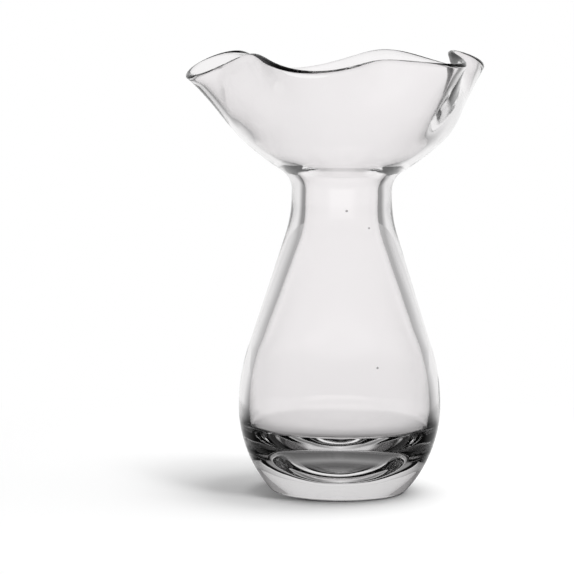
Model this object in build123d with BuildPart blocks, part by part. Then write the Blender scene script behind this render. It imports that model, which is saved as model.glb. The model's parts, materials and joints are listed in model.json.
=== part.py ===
from build123d import *

import math
import os

# Hyacinth forcing vase in clear hand-blown glass.
# A thick base carries a pear-shaped water reservoir. The reservoir narrows to a waisted neck, whose
# throat holds a bulb just above the water, and the cup above it opens into an uneven ruffled rim.
# The zones follow the glassmaker's shaping steps and meet face to face at level planes.
# Millimetres, Z up, foot on Z = 0 and the axis of the vase on the Z axis.

# Foot, heel and underside
FOOT_RADIUS = 29.0
HEEL_ROUNDING = 5.0
PUNT_RADIUS = 25.0
PUNT_DEPTH = 0.6

# Reservoir
BODY_RADIUS = 44.6
WIDEST_HEIGHT = 38.5
BODY_WALL = 4.8
SHOULDER_ARC = 84.0
FLOOR_HEIGHT = 12.0
FLOOR_RISE = 18.5
FLOOR_CORNER = 4.0

# Neck and throat
NECK_RADIUS = 22.0
NECK_HEIGHT = 131.7
NECK_LAND = 2.1
WAIST_ARC = 60.0
NECK_WALL = 6.0
THROAT_LAND = 8.0
THROAT_DROP = 6.7
THROAT_WAIST_ARC = 40.0
NECK_JOINT_DROP = 16.0

# Cup: the flare under it, the rounded seat inside it, and the level where the ruffle starts
FLARE_ARC = 10.0
FLARE_ANGLE = 58.0
SEAT_ARC = 15.0
SEAT_ANGLE = 63.0
ROOT_RADIUS = 44.0
BOWL_RISE = 13.2
CUP_WALL = 4.9

# Ruffled rim: a round bead on the lip, and the plain cup that the ruffle swings about
BEAD_RADIUS = 1.7
RIM_RADIUS = 59.0
RIM_RISE = 34.0
RIM_ANGLE = 16.0
RIM_REACH = 12.0
RING_POINTS = 36

# Ruffle: how far its lobes swing in and out and its edge up and down, how steeply that grows from
# the root to the lip and how much lower a lobe starts than a pleat, and the swings as
# (direction in degrees, share of the swing): five lobes with five pleats between them
RUFFLE_SWING = 8.0
RUFFLE_LIFT = 5.0
RUFFLE_GROWTH = 2.2
LOBE_DEPTH = 0.6
PLAN_SWINGS = [
    (14, 0.5), (68, -1.0), (107, 0.88), (150, -0.94), (181, 1.1),
    (218, -1.0), (258, 0.94), (288, -0.94), (317, 0.85), (346, -1.45),
]
HEIGHT_SWINGS = [
    (25, -0.9), (67, 0.56), (110, -1.4), (155, 0.54), (187, -1.5),
    (220, 0.76), (259, -0.5), (289, 0.45), (318, 0.06), (347, 1.02),
]

# Sizes that follow from the ones above
throat_radius = NECK_RADIUS - NECK_WALL
throat_bottom = NECK_HEIGHT - THROAT_DROP
throat_top = throat_bottom + THROAT_LAND
flare_bottom = NECK_HEIGHT + NECK_LAND
cavity_radius = BODY_RADIUS - BODY_WALL
heel_inset = BODY_RADIUS - FOOT_RADIUS
heel_arc = (WIDEST_HEIGHT**2 + heel_inset**2) / (2 * heel_inset)
floor_edge_height = FLOOR_HEIGHT + FLOOR_RISE
floor_edge_drop = WIDEST_HEIGHT - floor_edge_height
floor_edge_radius = BODY_RADIUS - heel_arc + math.sqrt((heel_arc - BODY_WALL) ** 2 - floor_edge_drop**2)


def tilt(angle):
    """Direction in the section that leans outward from the vertical by this angle in degrees."""
    return (math.sin(math.radians(angle)), math.cos(math.radians(angle)))


def waisted_line(wide_radius, wide_height, wide_arc, narrow_radius, narrow_height, narrow_arc):
    """Ends of the straight wall that touches the bulging arc below and the hollow arc above."""
    across = narrow_radius - wide_radius + wide_arc + narrow_arc
    rise = narrow_height - wide_height
    lean = math.atan2(rise, across) - math.acos((wide_arc + narrow_arc) / math.hypot(across, rise))
    bottom = (wide_radius - wide_arc * (1 - math.cos(lean)), wide_height + wide_arc * math.sin(lean))
    top = (narrow_radius + narrow_arc * (1 - math.cos(lean)), narrow_height - narrow_arc * math.sin(lean))
    return bottom, top


def flare_end(radius, height, arc, angle):
    """Point where an arc that starts upright has turned outward by the angle."""
    lean_out, lean_up = tilt(angle)
    return (radius + arc * (1 - lean_up), height + arc * lean_out)


outer_low, outer_high = waisted_line(
    BODY_RADIUS, WIDEST_HEIGHT, SHOULDER_ARC, NECK_RADIUS, NECK_HEIGHT, WAIST_ARC
)
inner_low, inner_high = waisted_line(
    cavity_radius, WIDEST_HEIGHT, SHOULDER_ARC - BODY_WALL, throat_radius, throat_bottom, THROAT_WAIST_ARC
)
flare_top = flare_end(NECK_RADIUS, flare_bottom, FLARE_ARC, FLARE_ANGLE)
seat_top = flare_end(throat_radius, throat_top, SEAT_ARC, SEAT_ANGLE)

# Levels of the ruffle's root and of the plain rim, the lean of the cup's outside at the root,
# and the width of the level joint there
root_height = flare_top[1] + BOWL_RISE
rim_height = root_height + RIM_RISE
root_chord = math.degrees(math.atan2(ROOT_RADIUS - flare_top[0], root_height - flare_top[1]))
root_lean = 2 * root_chord - FLARE_ANGLE
root_out, root_up = tilt(root_lean)
root_inner_radius = ROOT_RADIUS - CUP_WALL / root_up

# Levels where the zones meet
base_joint = WIDEST_HEIGHT
neck_joint = NECK_HEIGHT - NECK_JOINT_DROP
cup_joint = flare_top[1]

# Half section of the glass from the foot to the root of the ruffle
with BuildSketch(Plane.XZ) as glass_section:
    with BuildLine():
        # Underside with its shallow ground hollow, and the flat ring that the vase stands on
        TangentArc((0, PUNT_DEPTH), (PUNT_RADIUS, 0), tangent=(1, 0))
        Line((PUNT_RADIUS, 0), (FOOT_RADIUS, 0))
        # Outside: heel, belly, waist, flare and bowl of the cup
        TangentArc((BODY_RADIUS, WIDEST_HEIGHT), (FOOT_RADIUS, 0), tangent=(0, -1))
        TangentArc((BODY_RADIUS, WIDEST_HEIGHT), outer_low, tangent=(0, 1))
        Line(outer_low, outer_high)
        TangentArc((NECK_RADIUS, NECK_HEIGHT), outer_high, tangent=(0, -1))
        Line((NECK_RADIUS, NECK_HEIGHT), (NECK_RADIUS, flare_bottom))
        TangentArc((NECK_RADIUS, flare_bottom), flare_top, tangent=(0, 1))
        TangentArc(flare_top, (ROOT_RADIUS, root_height), tangent=tilt(FLARE_ANGLE))
        # Level joint at the root of the ruffle
        Line((ROOT_RADIUS, root_height), (root_inner_radius, root_height))
        # Inside: bowl, rounded seat, throat, waist, wall and bowl-shaped floor
        TangentArc(seat_top, (root_inner_radius, root_height), tangent=tilt(SEAT_ANGLE))
        TangentArc((throat_radius, throat_top), seat_top, tangent=(0, 1))
        Line((throat_radius, throat_top), (throat_radius, throat_bottom))
        TangentArc((throat_radius, throat_bottom), inner_high, tangent=(0, -1))
        Line(inner_high, inner_low)
        TangentArc((cavity_radius, WIDEST_HEIGHT), inner_low, tangent=(0, 1))
        TangentArc((cavity_radius, WIDEST_HEIGHT), (floor_edge_radius, floor_edge_height), tangent=(0, -1))
        TangentArc((0, FLOOR_HEIGHT), (floor_edge_radius, floor_edge_height), tangent=(1, 0))
        Line((0, FLOOR_HEIGHT), (0, PUNT_DEPTH))
    make_face()
    corners = glass_section.vertices()
    floor_corner = corners.sort_by_distance((floor_edge_radius, 0, floor_edge_height))[0]
    heel_corner = corners.sort_by_distance((FOOT_RADIUS, 0, 0))[0]
    fillet(floor_corner, radius=FLOOR_CORNER)
    fillet(heel_corner, radius=HEEL_ROUNDING)

# Heavy base with the cavity's bowl-shaped floor, up to the widest level
with BuildPart() as solid_base:
    revolve(glass_section.sketch, axis=Axis.Z)
    split(bisect_by=Plane.XY.offset(base_joint), keep=Keep.BOTTOM)
solid_base.part.label = "solid_base"

# Pear-shaped wall of the water reservoir
with BuildPart() as reservoir_wall:
    revolve(glass_section.sketch, axis=Axis.Z)
    split(bisect_by=Plane.XY.offset(base_joint), keep=Keep.TOP)
    split(bisect_by=Plane.XY.offset(neck_joint), keep=Keep.BOTTOM)
reservoir_wall.part.label = "reservoir_wall"

# Waisted neck with the throat that holds the bulb
with BuildPart() as neck_collar:
    revolve(glass_section.sketch, axis=Axis.Z)
    split(bisect_by=Plane.XY.offset(neck_joint), keep=Keep.TOP)
    split(bisect_by=Plane.XY.offset(cup_joint), keep=Keep.BOTTOM)
neck_collar.part.label = "neck_collar"

# Round lower bowl of the cup
with BuildPart() as bulb_cup:
    revolve(glass_section.sketch, axis=Axis.Z)
    split(bisect_by=Plane.XY.offset(cup_joint), keep=Keep.TOP)
bulb_cup.part.label = "bulb_cup"


def swing(table, direction):
    """Share at this direction: half a cosine wave from each swing to the next."""
    for (start, low), (end, high) in zip(table, table[1:] + table[:1]):
        span = (end - start) % 360
        way = (direction - start) % 360
        if way < span:
            return low + (high - low) * (1 - math.cos(math.pi * way / span)) / 2


def ruffled_ring(radius, height):
    """Closed ring of the cup; the ruffle grows with the height above its root, lobes lower than pleats."""
    if height == root_height:
        return Wire.make_circle(radius, Plane.XY.offset(height))
    way = min(1.0, (height - root_height) / RIM_RISE)
    points = []
    for step in range(RING_POINTS):
        direction = step * 360 / RING_POINTS
        outward = swing(PLAN_SWINGS, direction)
        reach = radius + way ** (RUFFLE_GROWTH - LOBE_DEPTH * outward) * RUFFLE_SWING * outward
        level = height + way**RUFFLE_GROWTH * RUFFLE_LIFT * swing(HEIGHT_SWINGS, direction)
        turn = math.radians(direction)
        points.append((reach * math.cos(turn), reach * math.sin(turn), level))
    even_steps = [step / RING_POINTS for step in range(RING_POINTS + 1)]
    return Wire([Edge.make_spline(points, periodic=True, parameters=even_steps)])


def skin_point(start, guide, end, way):
    """Point on a skin of the plain cup: a curve that leaves the bowl smoothly and ends on the bead."""
    return tuple(
        (1 - way) ** 2 * a + 2 * way * (1 - way) * b + way**2 * c for a, b, c in zip(start, guide, end)
    )


# Guides of the two skins, and their ends on the bead
outer_guide = (ROOT_RADIUS + RIM_REACH * root_out, root_height + RIM_REACH * root_up)
inner_guide = (outer_guide[0] - CUP_WALL * root_up, outer_guide[1] + CUP_WALL * root_out)
bead_turns = (90, 45, 0, -45, -90)
bead = []
for turn in bead_turns:
    bead_out, bead_up = tilt(RIM_ANGLE + turn)
    bead.append((RIM_RADIUS + BEAD_RADIUS * bead_out, rim_height + BEAD_RADIUS * bead_up))

# Rings up the outside, over the bead and down the inside
skin_ways = (0, 0.25, 0.5, 0.75)
outer_skin = [skin_point((ROOT_RADIUS, root_height), outer_guide, bead[0], way) for way in skin_ways]
inner_skin = [skin_point((root_inner_radius, root_height), inner_guide, bead[-1], way) for way in skin_ways]
outer_rings = [ruffled_ring(*point) for point in outer_skin]
bead_rings = [ruffled_ring(*point) for point in bead]
inner_rings = [ruffled_ring(*point) for point in inner_skin]
outside = Shell.make_loft([*outer_rings, bead_rings[0]])
lip = Shell.make_loft(bead_rings)
inside = Shell.make_loft([*inner_rings, bead_rings[-1]])
rim_joint = Face(outer_rings[0], [inner_rings[0]])
rim_faces = [*outside.faces(), *lip.faces(), *inside.faces(), rim_joint]

# Upper cup with the ruffle and its fire-polished lip
with BuildPart() as ruffled_rim:
    add(Solid(Shell(rim_faces)))
ruffled_rim.part.label = "ruffled_rim"

os.makedirs("parts", exist_ok=True)
export_step(solid_base.part, "parts/solid_base.step")
export_step(reservoir_wall.part, "parts/reservoir_wall.step")
export_step(neck_collar.part, "parts/neck_collar.step")
export_step(bulb_cup.part, "parts/bulb_cup.step")
export_step(ruffled_rim.part, "parts/ruffled_rim.step")
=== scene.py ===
import json
import math

import bpy
from mathutils import Matrix, Vector


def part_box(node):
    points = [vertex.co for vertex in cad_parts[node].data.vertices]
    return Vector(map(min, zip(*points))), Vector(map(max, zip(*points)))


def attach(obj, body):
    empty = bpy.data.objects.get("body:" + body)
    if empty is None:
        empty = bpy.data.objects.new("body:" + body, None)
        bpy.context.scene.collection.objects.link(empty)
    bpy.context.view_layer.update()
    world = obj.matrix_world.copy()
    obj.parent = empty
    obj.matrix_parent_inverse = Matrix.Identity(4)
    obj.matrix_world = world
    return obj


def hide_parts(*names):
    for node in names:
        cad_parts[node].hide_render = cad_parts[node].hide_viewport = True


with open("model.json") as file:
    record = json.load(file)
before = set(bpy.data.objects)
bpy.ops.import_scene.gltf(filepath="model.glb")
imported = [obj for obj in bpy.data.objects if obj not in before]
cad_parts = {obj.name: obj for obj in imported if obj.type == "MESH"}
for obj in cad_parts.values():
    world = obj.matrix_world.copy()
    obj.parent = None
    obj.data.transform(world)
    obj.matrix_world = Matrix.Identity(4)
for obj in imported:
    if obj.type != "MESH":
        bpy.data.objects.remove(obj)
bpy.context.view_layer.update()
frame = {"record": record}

mm = 0.001

# Solid base
# The gather of clear glass that is left thick at the bottom of the bubble: a rounded heel, a flat foot ring
# with a shallow hollow ground inside it and, within, the bowl-shaped floor of the reservoir.
_, base_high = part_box("solid_base")
body_radius = base_high.x
widest_height = base_high.z
body_wall = 4.8 * mm
foot_radius = 29.0 * mm
heel_rounding = 5.0 * mm
punt_radius = 25.0 * mm
punt_depth = 0.6 * mm
floor_height = 12.0 * mm
floor_rise = 18.5 * mm
floor_corner = 4.0 * mm

# How finely the glass is drawn: longest step on a line, widest turn on an arc, and steps round the axis
line_step = 2.6 * mm
arc_step = math.radians(7)
steps_round = 240


def new_zone(name):
    """Starts a zone of the vase as an empty mesh at the origin, open for drawing its section."""
    bpy.ops.object.select_all(action="DESELECT")
    bpy.ops.mesh.primitive_plane_add(size=mm)
    zone = bpy.context.object
    zone.name = name
    bpy.ops.object.mode_set(mode="EDIT")
    bpy.ops.mesh.delete(type="VERT")
    return zone


def start_line(point):
    """Puts down the first point (radius, height) of a section line: a small plane merged to its middle."""
    bpy.ops.mesh.select_all(action="DESELECT")
    bpy.ops.mesh.primitive_plane_add(size=mm, location=(point[0], 0, point[1]))
    bpy.ops.mesh.merge(type="CENTER")


def draw_line(start, end):
    """Draws straight on from the last point."""
    across = end[0] - start[0]
    rise = end[1] - start[1]
    steps = math.ceil(math.hypot(across, rise) / line_step)
    for _ in range(steps):
        move = (across / steps, 0, rise / steps)
        bpy.ops.mesh.extrude_vertices_move(TRANSFORM_OT_translate={"value": move})


def draw_arc(centre, start, end):
    """Draws an arc on from the last point, the short way round the centre."""
    turn = math.atan2(end[1] - centre[1], end[0] - centre[0])
    turn -= math.atan2(start[1] - centre[1], start[0] - centre[0])
    turn = (turn + math.pi) % math.tau - math.pi
    length = abs(turn) * math.dist(centre, start)
    steps = math.ceil(max(length / line_step, abs(turn) / arc_step))
    bpy.ops.mesh.spin(steps=steps, angle=turn, center=(centre[0], 0, centre[1]), axis=(0, 1, 0))


def spin_zone():
    """Turns the drawn lines round the vase's axis and closes the edit."""
    bpy.ops.mesh.select_all(action="SELECT")
    bpy.ops.mesh.spin(steps=steps_round, angle=math.tau, center=(0, 0, 0), axis=(0, 0, 1))
    bpy.ops.object.mode_set(mode="OBJECT")


def toward(centre, point, distance):
    """The point at this distance from the centre, on the ray through the other point."""
    share = distance / math.dist(centre, point)
    return (centre[0] + (point[0] - centre[0]) * share, centre[1] + (point[1] - centre[1]) * share)


# Underside: a very flat arc to the foot ring
punt_arc = (punt_radius**2 + punt_depth**2) / (2 * punt_depth)
punt_top = (0, punt_depth)
punt_centre = (0, punt_depth - punt_arc)
foot_inside = (punt_radius, 0)

# Heel: one arc from the foot to the widest level, rounded into the foot
heel_inset = body_radius - foot_radius
heel_arc = (widest_height**2 + heel_inset**2) / (2 * heel_inset)
heel_centre = (body_radius - heel_arc, widest_height)
rounding_reach = math.sqrt((heel_arc - heel_rounding) ** 2 - (widest_height - heel_rounding) ** 2)
rounding_centre = (heel_centre[0] + rounding_reach, heel_rounding)
foot_outside = (rounding_centre[0], 0)
heel_start = toward(heel_centre, rounding_centre, heel_arc)
widest = (body_radius, widest_height)

# Floor of the reservoir: a bowl rounded into the wall, where a circle of the corner's radius touches both
cavity_radius = body_radius - body_wall
wall_arc = heel_arc - body_wall
floor_edge_drop = widest_height - floor_height - floor_rise
floor_edge = heel_centre[0] + math.sqrt(wall_arc**2 - floor_edge_drop**2)
floor_arc = (floor_edge**2 + floor_rise**2) / (2 * floor_rise)
floor_middle = (0, floor_height)
floor_centre = (0, floor_height + floor_arc)
to_floor = floor_arc - floor_corner
to_wall = wall_arc - floor_corner
between = math.dist(floor_centre, heel_centre)
along = (to_floor**2 - to_wall**2 + between**2) / (2 * between)
aside = math.sqrt(to_floor**2 - along**2)
line_out = (heel_centre[0] / between, (heel_centre[1] - floor_centre[1]) / between)
corner_centre = (
    floor_centre[0] + along * line_out[0] - aside * line_out[1],
    floor_centre[1] + along * line_out[1] + aside * line_out[0],
)
floor_end = toward(floor_centre, corner_centre, floor_arc)
wall_start = toward(heel_centre, corner_centre, wall_arc)
cavity_widest = (cavity_radius, widest_height)

base = new_zone("base_glass")
start_line(punt_top)
draw_arc(punt_centre, punt_top, foot_inside)
draw_line(foot_inside, foot_outside)
draw_arc(rounding_centre, foot_outside, heel_start)
draw_arc(heel_centre, heel_start, widest)
start_line(floor_middle)
draw_arc(floor_centre, floor_middle, floor_end)
draw_arc(corner_centre, floor_end, wall_start)
draw_arc(heel_centre, wall_start, cavity_widest)
spin_zone()

# Reservoir
# The pear-shaped wall that holds the water, blown as one bubble with the base: a bulging shoulder that runs
# into the straight slope of the neck. The inside follows the outside, and the wall thickens toward the neck.
throat = next(mount for mount in frame["record"]["mounts"] if mount["name"] == "throat")
throat_radius = throat["dims"]["r_mm"] * mm
throat_length = throat["dims"]["length_mm"] * mm
throat_bottom = throat["pos_m"][2] - throat_length / 2
throat_top = throat_bottom + throat_length
shoulder_arc = 84.0 * mm
neck_wall = 6.0 * mm
neck_radius = throat_radius + neck_wall
neck_height = 131.7 * mm
waist_arc = 60.0 * mm
throat_waist_arc = 40.0 * mm


def sloping_wall(wide, wide_arc, narrow, narrow_arc):
    """Ends of the straight wall that touches the bulging arc below and the hollow arc above."""
    across = narrow[0] - wide[0] + wide_arc + narrow_arc
    rise = narrow[1] - wide[1]
    lean = math.atan2(rise, across) - math.acos((wide_arc + narrow_arc) / math.hypot(across, rise))
    inward = 1 - math.cos(lean)
    low = (wide[0] - wide_arc * inward, wide[1] + wide_arc * math.sin(lean))
    high = (narrow[0] + narrow_arc * inward, narrow[1] - narrow_arc * math.sin(lean))
    return low, high


neck_low = (neck_radius, neck_height)
throat_low = (throat_radius, throat_bottom)
shoulder_centre = (body_radius - shoulder_arc, widest_height)
outer_low, outer_high = sloping_wall(widest, shoulder_arc, neck_low, waist_arc)
inner_low, inner_high = sloping_wall(cavity_widest, shoulder_arc - body_wall, throat_low, throat_waist_arc)

reservoir = new_zone("reservoir_glass")
start_line(widest)
draw_arc(shoulder_centre, widest, outer_low)
draw_line(outer_low, outer_high)
start_line(cavity_widest)
draw_arc(shoulder_centre, cavity_widest, inner_low)
draw_line(inner_low, inner_high)
spin_zone()

# Neck
# The waist where the bubble was necked in with the jacks. Its throat is the thickest part of the upper
# glass and carries the bulb just above the water; above it the outside flares and the inside rounds
# into a seat.
cup_low, cup_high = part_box("bulb_cup")
flare_arc = 10.0 * mm
flare_angle = 58.0
seat_arc = 15.0 * mm
seat_angle = 63.0


def flare_end(start, arc, angle):
    """Point where an arc that starts upright has turned outward by the angle in degrees."""
    turn = math.radians(angle)
    return (start[0] + arc * (1 - math.cos(turn)), start[1] + arc * math.sin(turn))


flare_start = (neck_radius, cup_low.z - flare_arc * math.sin(math.radians(flare_angle)))
flare_top = flare_end(flare_start, flare_arc, flare_angle)
seat_start = (throat_radius, throat_top)
seat_top = flare_end(seat_start, seat_arc, seat_angle)

neck = new_zone("neck_glass")
start_line(outer_high)
draw_arc((neck_radius + waist_arc, neck_height), outer_high, neck_low)
draw_line(neck_low, flare_start)
draw_arc((neck_radius + flare_arc, flare_start[1]), flare_start, flare_top)
start_line(inner_high)
draw_arc((throat_radius + throat_waist_arc, throat_bottom), inner_high, throat_low)
draw_line(throat_low, seat_start)
draw_arc((throat_radius + seat_arc, throat_top), seat_start, seat_top)
spin_zone()

# Cup
# The round bowl under the ruffle, opened out from the neck while the glass was hot. Its inside is the
# rounded seat that a bulb sits on.
cup_wall = 4.9 * mm
root = (cup_high.x, cup_high.z)
root_chord = math.atan2(root[0] - flare_top[0], root[1] - flare_top[1])
root_lean = 2 * root_chord - math.radians(flare_angle)
root_inside = (root[0] - cup_wall / math.cos(root_lean), root[1])


def bowl_centre(start, angle, end):
    """Centre of the arc that leaves the start at this angle from upright and reaches the end."""
    heading = (math.sin(math.radians(angle)), math.cos(math.radians(angle)))
    square = (-heading[1], heading[0])
    chord = (end[0] - start[0], end[1] - start[1])
    radius = (chord[0] ** 2 + chord[1] ** 2) / (2 * (chord[0] * square[0] + chord[1] * square[1]))
    return (start[0] + square[0] * radius, start[1] + square[1] * radius)


cup = new_zone("cup_glass")
start_line(flare_top)
draw_arc(bowl_centre(flare_top, flare_angle, root), flare_top, root)
start_line(seat_top)
draw_arc(bowl_centre(seat_top, seat_angle, root_inside), seat_top, root_inside)
spin_zone()

# Ruffled rim
# The lip of the cup, spun open and then pulled by hand into five uneven lobes with five pleats between
# them. The cut edge was melted again in the fire, which left a round bead all along it.
rim_rise = 34.0 * mm
rim_height = root[1] + rim_rise
rim_radius = 59.0 * mm
rim_angle = 16.0
rim_reach = 12.0 * mm
bead_radius = 1.7 * mm
skin_steps = 20

# How far the lobes swing out and in and the edge swings up and down, how steeply that grows to the lip and
# how much lower a lobe starts than a pleat, and the swings as (direction in degrees, share of the swing)
ruffle_swing = 8.0 * mm
ruffle_lift = 5.0 * mm
ruffle_growth = 2.2
lobe_depth = 0.6
plan_swings = [
    (14, 0.5), (68, -1.0), (107, 0.88), (150, -0.94), (181, 1.1),
    (218, -1.0), (258, 0.94), (288, -0.94), (317, 0.85), (346, -1.45),
]
height_swings = [
    (25, -0.9), (67, 0.56), (110, -1.4), (155, 0.54), (187, -1.5),
    (220, 0.76), (259, -0.5), (289, 0.45), (318, 0.06), (347, 1.02),
]
soft_turn = 6.0


def bead_point(turn):
    """Point on the bead's section, this many degrees round from the direction that the lip points in."""
    angle = math.radians(rim_angle + turn)
    return (rim_radius + bead_radius * math.sin(angle), rim_height + bead_radius * math.cos(angle))


def skin(start, guide, end):
    """Points of a skin of the cup: a curve that leaves the bowl smoothly and ends on the bead."""
    points = []
    for step in range(skin_steps + 1):
        way = step / skin_steps
        parts = zip(start, guide, end)
        points.append([(1 - way) ** 2 * a + 2 * way * (1 - way) * b + way**2 * c for a, b, c in parts])
    return points


def swing(table, direction):
    """Share at this direction: half a cosine wave from each swing to the next."""
    for (start, low), (end, high) in zip(table, table[1:] + table[:1]):
        span = (end - start) % 360
        way = (direction - start) % 360
        if way < span:
            return low + (high - low) * (1 - math.cos(math.pi * way / span)) / 2


def soft_swing(table, direction):
    """The swing as hot glass takes it, evened out over a few degrees."""
    sides = swing(table, direction - soft_turn) + swing(table, direction + soft_turn)
    return (sides + 2 * swing(table, direction)) / 4


outer_guide = (root[0] + rim_reach * math.sin(root_lean), root[1] + rim_reach * math.cos(root_lean))
inner_guide = (
    outer_guide[0] - cup_wall * math.cos(root_lean),
    outer_guide[1] + cup_wall * math.sin(root_lean),
)
outer_skin = skin(root, outer_guide, bead_point(90))
inner_skin = skin(bead_point(-90), inner_guide, root_inside)

rim = new_zone("rim_glass")
start_line(root)
for start, end in zip(outer_skin, outer_skin[1:]):
    draw_line(start, end)
draw_arc((rim_radius, rim_height), bead_point(90), bead_point(0))
draw_arc((rim_radius, rim_height), bead_point(0), bead_point(-90))
for start, end in zip(inner_skin, inner_skin[1:]):
    draw_line(start, end)
spin_zone()

# The ruffle grows with the height above its root: lobes start low on the wall, pleats stay near the lip
for corner in rim.data.vertices:
    way = max(0.0, min(1.0, (corner.co.z - root[1]) / rim_rise))
    direction = math.degrees(math.atan2(corner.co.y, corner.co.x))
    radius = math.hypot(corner.co.x, corner.co.y)
    outward = soft_swing(plan_swings, direction)
    reach = 1 + way ** (ruffle_growth - lobe_depth * outward) * ruffle_swing * outward / radius
    lift = way**ruffle_growth * ruffle_lift * soft_swing(height_swings, direction)
    corner.co = (corner.co.x * reach, corner.co.y * reach, corner.co.z + lift)

# One piece of glass
# The zones are one bubble with no seam, so they are fused into a single closed skin, outside and inside.
# The glass is clear and bright from the fire, a little uneven from the blowing, with a few seeds: tiny air
# bubbles caught in the wall.
weld_gap = 0.004 * mm
bpy.ops.object.select_all(action="DESELECT")
for zone in (base, reservoir, neck, cup, rim):
    zone.select_set(True)
bpy.context.view_layer.objects.active = base
bpy.ops.object.join()
vase = base
vase.name = "glass_vase"
bpy.ops.object.mode_set(mode="EDIT")
bpy.ops.mesh.select_all(action="SELECT")
bpy.ops.mesh.remove_doubles(threshold=weld_gap)
bpy.ops.mesh.normals_make_consistent(inside=False)

# Seeds as (right, toward the back, up) and radius in millimetres: closed balls turned inside out, since
# they are air in the glass
seeds = [
    ((1.8, -18.9, 126.1), 0.5),
    ((11.1, -17.3, 118.4), 0.4),
    ((15.5, -37.7, 60.0), 0.45),
]
seed_detail = 3
for centre, radius in seeds:
    bpy.ops.mesh.select_all(action="DESELECT")
    spot = Vector(centre) * mm
    bpy.ops.mesh.primitive_ico_sphere_add(subdivisions=seed_detail, radius=radius * mm, location=spot)
    bpy.ops.mesh.flip_normals()
bpy.ops.object.mode_set(mode="OBJECT")
bpy.ops.object.shade_smooth()


def add_node(tree, kind, **settings):
    """Adds a shader node with these settings."""
    node = tree.nodes.new("ShaderNode" + kind)
    for name, value in settings.items():
        setattr(node, name, value)
    return node


def feed(tree, socket, value):
    """Links a node's output to the socket, or sets the socket to a plain value."""
    if isinstance(value, bpy.types.NodeSocket):
        tree.links.new(value, socket)
    else:
        socket.default_value = value


def ramp(tree, value, stops):
    """Grey that follows the stops (value, brightness)."""
    node = add_node(tree, "ValToRGB")
    band = node.color_ramp.elements
    band.remove(band[1])
    for number, (spot, grey) in enumerate(stops):
        stop = band[0] if number == 0 else band.new(spot)
        stop.position = spot
        stop.color = (grey, grey, grey, 1)
    feed(tree, node.inputs["Fac"], value)
    return node.outputs["Color"]


glass_ior = 1.5
glass = bpy.data.materials.new("clear_blown_glass")
glass.use_nodes = True
tree = glass.node_tree
shader = tree.nodes["Principled BSDF"]
shader.inputs["IOR"].default_value = glass_ior
shader.inputs["Transmission Weight"].default_value = 1.0
place = add_node(tree, "TexCoord").outputs["Object"]
height = add_node(tree, "SeparateXYZ")
feed(tree, height.inputs[0], place)

# Cords: faint streaks of slightly other glass
cord_scale = 40.0
clear_cord = (1.0, 0.989, 0.993, 1)
tinted_cord = (0.998, 0.982, 0.986, 1)
cord = add_node(tree, "TexNoise")
feed(tree, cord.inputs["Vector"], place)
cord.inputs["Scale"].default_value = cord_scale
tint = add_node(tree, "Mix", data_type="RGBA")
feed(tree, tint.inputs["Factor"], cord.outputs["Fac"])
tint.inputs[6].default_value = clear_cord
tint.inputs[7].default_value = tinted_cord
feed(tree, shader.inputs["Base Color"], tint.outputs[2])

# The ground foot is a little dull, the rest bright: roughness by height
ground_foot = [(0.7 * mm, 0.05), (1.2 * mm, 0.0)]
feed(tree, shader.inputs["Roughness"], ramp(tree, height.outputs["Z"], ground_foot))

# Ripple of the blown skin
ripple_scale = 60.0
ripple_depth = 0.12 * mm
ripple = add_node(tree, "TexNoise")
feed(tree, ripple.inputs["Vector"], place)
ripple.inputs["Scale"].default_value = ripple_scale
ripple.inputs["Detail"].default_value = 1.0
bump = add_node(tree, "Bump")
bump.inputs["Strength"].default_value = 1.0
bump.inputs["Distance"].default_value = ripple_depth
feed(tree, bump.inputs["Height"], ripple.outputs["Fac"])
feed(tree, shader.inputs["Normal"], bump.outputs["Normal"])

# Lamp light goes through the walls and is held back by the thick base, which gives the vase its soft
# shadow: share that a surface lets through, by height
lamp_light = [(30.0 * mm, 0.05), (60.0 * mm, 0.985)]
clear = add_node(tree, "BsdfTransparent")
feed(tree, clear.inputs["Color"], ramp(tree, height.outputs["Z"], lamp_light))
lit = add_node(tree, "MixShader")
feed(tree, lit.inputs["Fac"], add_node(tree, "LightPath").outputs["Is Shadow Ray"])
feed(tree, lit.inputs[1], shader.outputs["BSDF"])
feed(tree, lit.inputs[2], clear.outputs["BSDF"])
feed(tree, tree.nodes["Material Output"].inputs["Surface"], lit.outputs[0])
vase.data.materials.clear()
vase.data.materials.append(glass)
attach(vase, "root")
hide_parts("solid_base", "reservoir_wall", "neck_collar", "bulb_cup", "ruffled_rim")

# Floor
# A plain sweep of white paper. Close to the vase it is matt and takes the soft shadow; further out it
# glows as white as the room behind, and under the base's left side it has a painted glow. In the glass it
# is white far behind the vase, with painted shade under it, and dim to the sides.

# Size of the sheet, its whiteness, where it turns from matt to glowing, and the room's own light on it
floor_size = 12.0
paper_white = 0.9
shadow_reach = (0.12, 0.30)
room_light = 0.05

# Brightness that the glass shows, as (degrees from straight behind the vase, brightness): mirrored on the
# outside, straight through the glass, and after it was turned inside the glass often or almost without end
mirrored_by_turn = [(25, 1), (36, 0.85), (50, 0.47), (80, 0.04)]
straight_by_turn = [(60, 1), (120, 0.87)]
often_by_turn = [(40, 0.92), (90, 0.08)]
endless_by_turn = [(62, 0.92), (74, 0.05)]
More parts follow.
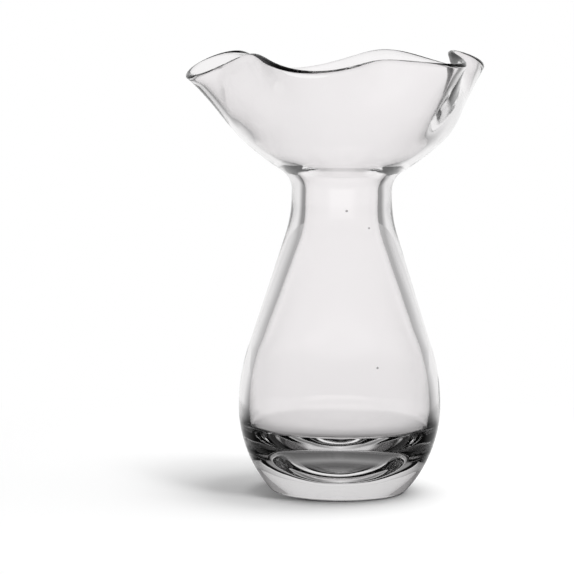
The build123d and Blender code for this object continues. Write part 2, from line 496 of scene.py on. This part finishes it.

# The same for the paper alone, as (metres from the vase's axis, brightness): straight through, and after
# one turn or more inside the glass, under the vase and far off, where it also falls off to the sides. The
# dark and light rings under the vase are painted shade and painted light in the paper's glow.
straight_on_paper = [(0.02, 0.7), (0.03, 0.25), (0.06, 0.35), (0.08, 0.75), (0.2, 0.9), (0.8, 0.985)]
once_under_vase = [
    (0, 0.3), (0.014, 0.05), (0.02, 0.3), (0.026, 0.05), (0.032, 0.33), (0.042, 0.33), (0.05, 0),
]
once_far_off = [(0.15, 0), (0.3, 1)]
once_to_sides = [(30, 0.88), (50, 0.3)]
twice_under_vase = [(0.035, 0.21), (0.05, 0)]
twice_far_off = [(0.2, 0), (0.3, 1)]
twice_to_sides = [(30, 0.62), (50, 0)]

# Painted glow on the paper under the base's left side, in place of light that a real base would gather
# there:
# by distance, and by how far to the left
painted_glow_reach = [(0.044, 1), (0.056, 0)]
painted_glow_left = [(0.012, 0), (0.036, 0.26)]


def math_node(tree, operation, first, second=0.0):
    """One sum on two values."""
    node = add_node(tree, "Math", operation=operation)
    feed(tree, node.inputs[0], first)
    feed(tree, node.inputs[1], second)
    return node.outputs[0]


def either(tree, share, first, second):
    """The first value where the share is 0, the second where it is 1."""
    node = add_node(tree, "Mix", data_type="FLOAT")
    for socket, value in zip((node.inputs[0], node.inputs[2], node.inputs[3]), (share, first, second)):
        feed(tree, socket, value)
    return node.outputs[0]


def directions(tree, place):
    """Turn from straight behind the vase as a share of a half turn, the same folded so that the front
    counts as the back does, and the place's parts to the right (X), to the back (Y) and up (Z)."""
    parts = add_node(tree, "SeparateXYZ")
    feed(tree, parts.inputs[0], place)
    aside = math_node(tree, "ABSOLUTE", parts.outputs["X"])
    back = parts.outputs["Y"]
    turn = math_node(tree, "DIVIDE", math_node(tree, "ARCTAN2", aside, back), math.pi)
    front_or_back = math_node(tree, "ABSOLUTE", back)
    fold = math_node(tree, "DIVIDE", math_node(tree, "ARCTAN2", aside, front_or_back), math.pi)
    return turn, fold, parts.outputs


def by_turn(tree, turn, stops):
    """Grey by a turn, with the stops in degrees."""
    return ramp(tree, turn, [(degrees / 180, grey) for degrees, grey in stops])


def seen_in_glass(tree, path, mirrored, straight, turned):
    """Brightness for a ray from the glass: a mirror image on the outside, straight through, or turned
    inside the glass at least as often as the list says."""
    seen = straight
    for turns, grey in turned:
        enough = math_node(tree, "GREATER_THAN", path.outputs["Glossy Depth"], turns - 0.5)
        seen = either(tree, enough, seen, grey)
    outside = math_node(tree, "LESS_THAN", path.outputs["Transmission Depth"], 0.5)
    seen = either(tree, outside, seen, mirrored)
    off_paper = math_node(tree, "GREATER_THAN", path.outputs["Diffuse Depth"], 0.5)
    return either(tree, off_paper, seen, room_light)


def from_glass(tree, path):
    """1 for a ray that comes from the glass, 0 for any other."""
    return math_node(tree, "MAXIMUM", path.outputs["Is Glossy Ray"], path.outputs["Is Transmission Ray"])


bpy.ops.object.select_all(action="DESELECT")
bpy.ops.mesh.primitive_plane_add(size=floor_size)
floor = bpy.context.object
floor.name = "floor"
paper = bpy.data.materials.new("white_paper")
paper.use_nodes = True
tree = paper.node_tree
tree.nodes.remove(tree.nodes["Principled BSDF"])
place = add_node(tree, "TexCoord").outputs["Object"]
turn, fold, parts = directions(tree, place)
length = add_node(tree, "VectorMath", operation="LENGTH")
feed(tree, length.inputs[0], place)
away = length.outputs["Value"]

# The paper as the glass shows it
mirrored = by_turn(tree, turn, mirrored_by_turn)
straight = by_turn(tree, turn, straight_by_turn)
straight = math_node(tree, "MULTIPLY", straight, ramp(tree, away, straight_on_paper))
once_far = by_turn(tree, fold, once_to_sides)
once_far = math_node(tree, "MULTIPLY", once_far, ramp(tree, away, once_far_off))
once = math_node(tree, "ADD", ramp(tree, away, once_under_vase), once_far)
twice_far = by_turn(tree, fold, twice_to_sides)
twice_far = math_node(tree, "MULTIPLY", twice_far, ramp(tree, away, twice_far_off))
twice = math_node(tree, "ADD", ramp(tree, away, twice_under_vase), twice_far)
often = by_turn(tree, turn, often_by_turn)
endless = by_turn(tree, turn, endless_by_turn)
path = add_node(tree, "LightPath")
turned = [(1, once), (2, twice), (4, twice_far), (6, often), (13, endless)]
seen = seen_in_glass(tree, path, mirrored, straight, turned)
glass_ray = from_glass(tree, path)
glow = add_node(tree, "Emission")
feed(tree, glow.inputs["Strength"], either(tree, glass_ray, 1.0, seen))

# The paper as the camera sees it: matt near the vase, glowing further out, with a painted glow under the
# base's left side
matt = add_node(tree, "BsdfDiffuse")
matt.inputs["Color"].default_value = (paper_white, paper_white, paper_white, 1)
fade = add_node(tree, "MapRange", interpolation_type="SMOOTHSTEP")
feed(tree, fade.inputs["Value"], away)
fade.inputs["From Min"].default_value = shadow_reach[0]
fade.inputs["From Max"].default_value = shadow_reach[1]
left = math_node(tree, "MULTIPLY", parts["X"], -1.0)
painted_glow = math_node(tree, "MULTIPLY", ramp(tree, away, painted_glow_reach), ramp(tree, left, painted_glow_left))
glowing = math_node(tree, "MAXIMUM", fade.outputs["Result"], painted_glow)
sweep = add_node(tree, "MixShader")
feed(tree, sweep.inputs["Fac"], math_node(tree, "MAXIMUM", glowing, glass_ray))
feed(tree, sweep.inputs[1], matt.outputs["BSDF"])
feed(tree, sweep.inputs[2], glow.outputs["Emission"])
feed(tree, tree.nodes["Material Output"].inputs["Surface"], sweep.outputs[0])
floor.data.materials.append(paper)

# Room
# A plain white room. To the camera it is white all round; in the glass it is white behind the vase and
# darker toward the sides, the front and overhead, which gives clear glass its dark edges.

# How the brightness falls off overhead, as (upward share of the direction, brightness)
mirrored_by_height = [(0.3, 1), (0.75, 0.05)]
straight_by_height = [(0.22, 1), (0.36, 0.73)]
often_by_height = [(0.3, 1), (0.5, 0.1)]
endless_by_height = [(0.26, 1), (0.36, 0.06)]
overhead_from = [(0.25, 0), (0.5, 1)]

# Brightness after one, two and four turns inside the glass, by direction: low down and overhead
once_low = [(20, 0.75), (45, 0.45), (60, 0.5), (90, 0.25)]
once_overhead = [(30, 0.4), (60, 0.35)]
twice_low = [(10, 0.9), (20, 0.3), (45, 0.3), (60, 0)]
twice_overhead = [(30, 0.64), (55, 0)]
fourfold_low = [(0, 0.75), (10, 0.2), (20, 0.02)]
fourfold_overhead = [(30, 0.45), (46, 0.36), (60, 0.04)]

world = bpy.data.worlds.new("studio")
bpy.context.scene.world = world
world.use_nodes = True
tree = world.node_tree
surround = tree.nodes["Background"]
surround.inputs["Color"].default_value = (1, 1, 1, 1)
turn, fold, parts = directions(tree, add_node(tree, "TexCoord").outputs["Generated"])
up = parts["Z"]
overhead = ramp(tree, up, overhead_from)
mirrored = by_turn(tree, turn, mirrored_by_turn)
mirrored = math_node(tree, "MULTIPLY", mirrored, ramp(tree, up, mirrored_by_height))
straight = by_turn(tree, turn, straight_by_turn)
straight = math_node(tree, "MULTIPLY", straight, ramp(tree, up, straight_by_height))
once = either(tree, overhead, by_turn(tree, turn, once_low), by_turn(tree, fold, once_overhead))
twice = either(tree, overhead, by_turn(tree, fold, twice_low), by_turn(tree, fold, twice_overhead))
fourfold = either(tree, overhead, by_turn(tree, fold, fourfold_low), by_turn(tree, fold, fourfold_overhead))
often = by_turn(tree, turn, often_by_turn)
often = math_node(tree, "MULTIPLY", often, ramp(tree, up, often_by_height))
endless = by_turn(tree, turn, endless_by_turn)
endless = math_node(tree, "MULTIPLY", endless, ramp(tree, up, endless_by_height))
path = add_node(tree, "LightPath")
turned = [(1, once), (2, twice), (4, fourfold), (6, often), (13, endless)]
seen = seen_in_glass(tree, path, mirrored, straight, turned)
plain = either(tree, path.outputs["Is Camera Ray"], room_light, 1.0)
feed(tree, surround.inputs["Strength"], either(tree, from_glass(tree, path), plain, seen))

# Lamps
# A wide softbox overhead, a little to the right, that lights the paper evenly, and a smaller key lamp from
# the front right whose shadow falls to the left behind the vase. Neither is seen in the glass.
softbox_stand = Vector((0.5, 0.1, 1.25))
softbox_aim = Vector((0.5, 0.1, 0))
softbox_size = 1.8
softbox_watts = 27.0
key_stand = Vector((0.86, -0.922, 0.985))
key_aim = Vector((0, 0, 0.03))
key_size = 0.5
key_watts = 9.0


def soft_lamp(name, stand, aim, size, watts):
    """A round soft lamp that stands here and points there."""
    light = bpy.data.lights.new(name, "AREA")
    light.shape = "DISK"
    light.size = size
    light.energy = watts
    lamp = bpy.data.objects.new(name, light)
    bpy.context.scene.collection.objects.link(lamp)
    lamp.location = stand
    lamp.rotation_euler = (aim - stand).to_track_quat("-Z", "Y").to_euler()
    lamp.visible_camera = False
    lamp.visible_glossy = False
    lamp.visible_transmission = False


soft_lamp("softbox", softbox_stand, softbox_aim, softbox_size, softbox_watts)
soft_lamp("key", key_stand, key_aim, key_size, key_watts)

# Camera
# Stands 1.5 m off at the photograph's angle, a little above the vase and leaning slightly. A point on the
# vase's axis falls on its pixel of the photograph. Light may turn often inside the glass.
image_size = 574
axis_point = Vector((0, 0, 97.0 * mm))
axis_pixel = (340.9, 273.1)
camera_distance = 1500.0 * mm
camera_rise = math.radians(6.3)
camera_roll = math.radians(0.55)
pixels_per_slope = 3405.0
light_bounces = 20
lens_view = bpy.data.cameras.new("camera")
lens_view.sensor_width = 36
lens_view.lens = pixels_per_slope * lens_view.sensor_width / image_size
lens_view.clip_end = 100
camera = bpy.data.objects.new("camera", lens_view)
bpy.context.scene.collection.objects.link(camera)
bpy.context.scene.camera = camera
level = Vector((1, 0, 0))
upward = Vector((0, math.sin(camera_rise), math.cos(camera_rise)))
ahead = Vector((0, math.cos(camera_rise), -math.sin(camera_rise)))
picture_right = level * math.cos(camera_roll) + upward * math.sin(camera_roll)
picture_up = upward * math.cos(camera_roll) - level * math.sin(camera_roll)
pixel = camera_distance / pixels_per_slope
aim = axis_point - picture_right * (axis_pixel[0] - image_size / 2) * pixel
aim -= picture_up * (image_size / 2 - axis_pixel[1]) * pixel
stand = aim - ahead * camera_distance
camera.matrix_world = Matrix((
    (picture_right.x, picture_up.x, -ahead.x, stand.x),
    (picture_right.y, picture_up.y, -ahead.y, stand.y),
    (picture_right.z, picture_up.z, -ahead.z, stand.z),
    (0, 0, 0, 1),
))
bpy.context.scene.view_settings.view_transform = "Standard"
bpy.context.scene.cycles.max_bounces = light_bounces
bpy.context.scene.cycles.glossy_bounces = light_bounces
bpy.context.scene.cycles.transmission_bounces = light_bounces
